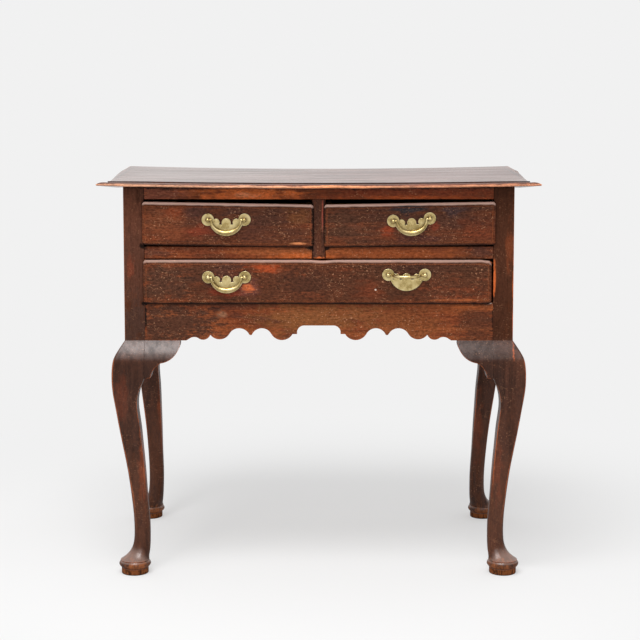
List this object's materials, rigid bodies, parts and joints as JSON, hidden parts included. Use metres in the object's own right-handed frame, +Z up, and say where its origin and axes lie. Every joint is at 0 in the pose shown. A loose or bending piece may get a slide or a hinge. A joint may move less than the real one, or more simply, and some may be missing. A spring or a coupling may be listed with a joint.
{
  "type": "lowboy",
  "caption": "Small antique dressing table: thumb-moulded top, dovetailed lipped drawers with brass bail handles, scalloped apron and cabriole legs on pad feet.",
  "frame": {"origin": "on the floor under the middle of the top", "axes": "+X to the right seen from the front, +Y from the drawers to the back, +Z up"},
  "size_m": [0.78, 0.4812, 0.717],
  "materials": {
    "case_wood": "old dark stain, waxed, worn at the arrises",
    "top_wood": "old dark stain, waxed, with a dull sheen",
    "drawer_front_wood": "old red-brown stain, waxed, marked by use",
    "lining_wood": "bare, aged and dusty",
    "brass": "cast, rubbed bright on the edges",
    "iron": "forged and rusted"
  },
  "bodies": {
    "case": {"apron": "case_wood", "back_board": "lining_wood", "back_nails": "iron", "centre_guide": "lining_wood", "centre_runner": "lining_wood", "drawer_divider": "case_wood", "drawer_stops": "lining_wood", "front_left_knee_bracket": "case_wood", "front_left_leg": "case_wood", "front_right_knee_bracket": "case_wood", "front_right_leg": "case_wood", "glue_blocks": "lining_wood", "left_front_side_bracket": "case_wood", "left_rear_side_bracket": "case_wood", "left_side_board": "case_wood", "lower_left_runner": "lining_wood", "lower_right_runner": "lining_wood", "middle_rail": "case_wood", "rear_left_leg": "case_wood", "rear_right_leg": "case_wood", "right_front_side_bracket": "case_wood", "right_rear_side_bracket": "case_wood", "right_side_board": "case_wood", "top_front_board": "top_wood", "top_kickers": "lining_wood", "top_rail": "case_wood", "top_rear_board": "top_wood", "upper_left_runner": "lining_wood", "upper_right_runner": "lining_wood"},
    "upper_left_drawer": {"upper_left_drawer_back": "lining_wood", "upper_left_drawer_bottom": "lining_wood", "upper_left_drawer_front": "drawer_front_wood", "upper_left_drawer_left_side": "lining_wood", "upper_left_drawer_right_side": "lining_wood", "upper_left_handle_nuts": "brass", "upper_left_handle_plate": "brass", "upper_left_handle_posts": "brass"},
    "upper_right_drawer": {"upper_right_drawer_back": "lining_wood", "upper_right_drawer_bottom": "lining_wood", "upper_right_drawer_front": "drawer_front_wood", "upper_right_drawer_left_side": "lining_wood", "upper_right_drawer_right_side": "lining_wood", "upper_right_handle_nuts": "brass", "upper_right_handle_plate": "brass", "upper_right_handle_posts": "brass"},
    "long_drawer": {"long_drawer_back": "lining_wood", "long_drawer_bottom": "lining_wood", "long_drawer_front": "drawer_front_wood", "long_drawer_left_side": "lining_wood", "long_drawer_right_side": "lining_wood", "lower_left_handle_nuts": "brass", "lower_left_handle_plate": "brass", "lower_left_handle_posts": "brass", "lower_right_handle_nuts": "brass", "lower_right_handle_plate": "brass", "lower_right_handle_posts": "brass"},
    "upper_left_bail": {"upper_left_handle_bail": "brass"},
    "upper_right_bail": {"upper_right_handle_bail": "brass"},
    "lower_left_bail": {"lower_left_handle_bail": "brass"},
    "lower_right_bail": {"lower_right_handle_bail": "brass"}
  },
  "joints": [
    {"name": "upper_left_drawer_slide", "type": "slide", "parent": "case", "child": "upper_left_drawer", "axis": [0, -1, 0], "range_m": [0, 0.3]},
    {"name": "upper_right_drawer_slide", "type": "slide", "parent": "case", "child": "upper_right_drawer", "axis": [0, -1, 0], "range_m": [0, 0.3]},
    {"name": "long_drawer_slide", "type": "slide", "parent": "case", "child": "long_drawer", "axis": [0, -1, 0], "range_m": [0, 0.3]},
    {"name": "upper_left_bail_hinge", "type": "hinge", "parent": "upper_left_drawer", "child": "upper_left_bail", "pos_m": [-0.1641, -0.2153, 0.6465], "axis": [-1, 0, 0], "range_deg": [-6, 150]},
    {"name": "upper_right_bail_hinge", "type": "hinge", "parent": "upper_right_drawer", "child": "upper_right_bail", "pos_m": [0.1641, -0.2153, 0.6465], "axis": [-0.9976, 0, -0.0698], "range_deg": [-6, 150]},
    {"name": "lower_left_bail_hinge", "type": "hinge", "parent": "long_drawer", "child": "lower_left_bail", "pos_m": [-0.164, -0.2153, 0.544], "axis": [-1, 0, 0], "range_deg": [-6, 150]},
    {"name": "lower_right_bail_hinge", "type": "hinge", "parent": "long_drawer", "child": "lower_right_bail", "pos_m": [0.156, -0.2153, 0.5483], "axis": [-1, 0, 0], "range_deg": [-94, 62]}
  ]
}
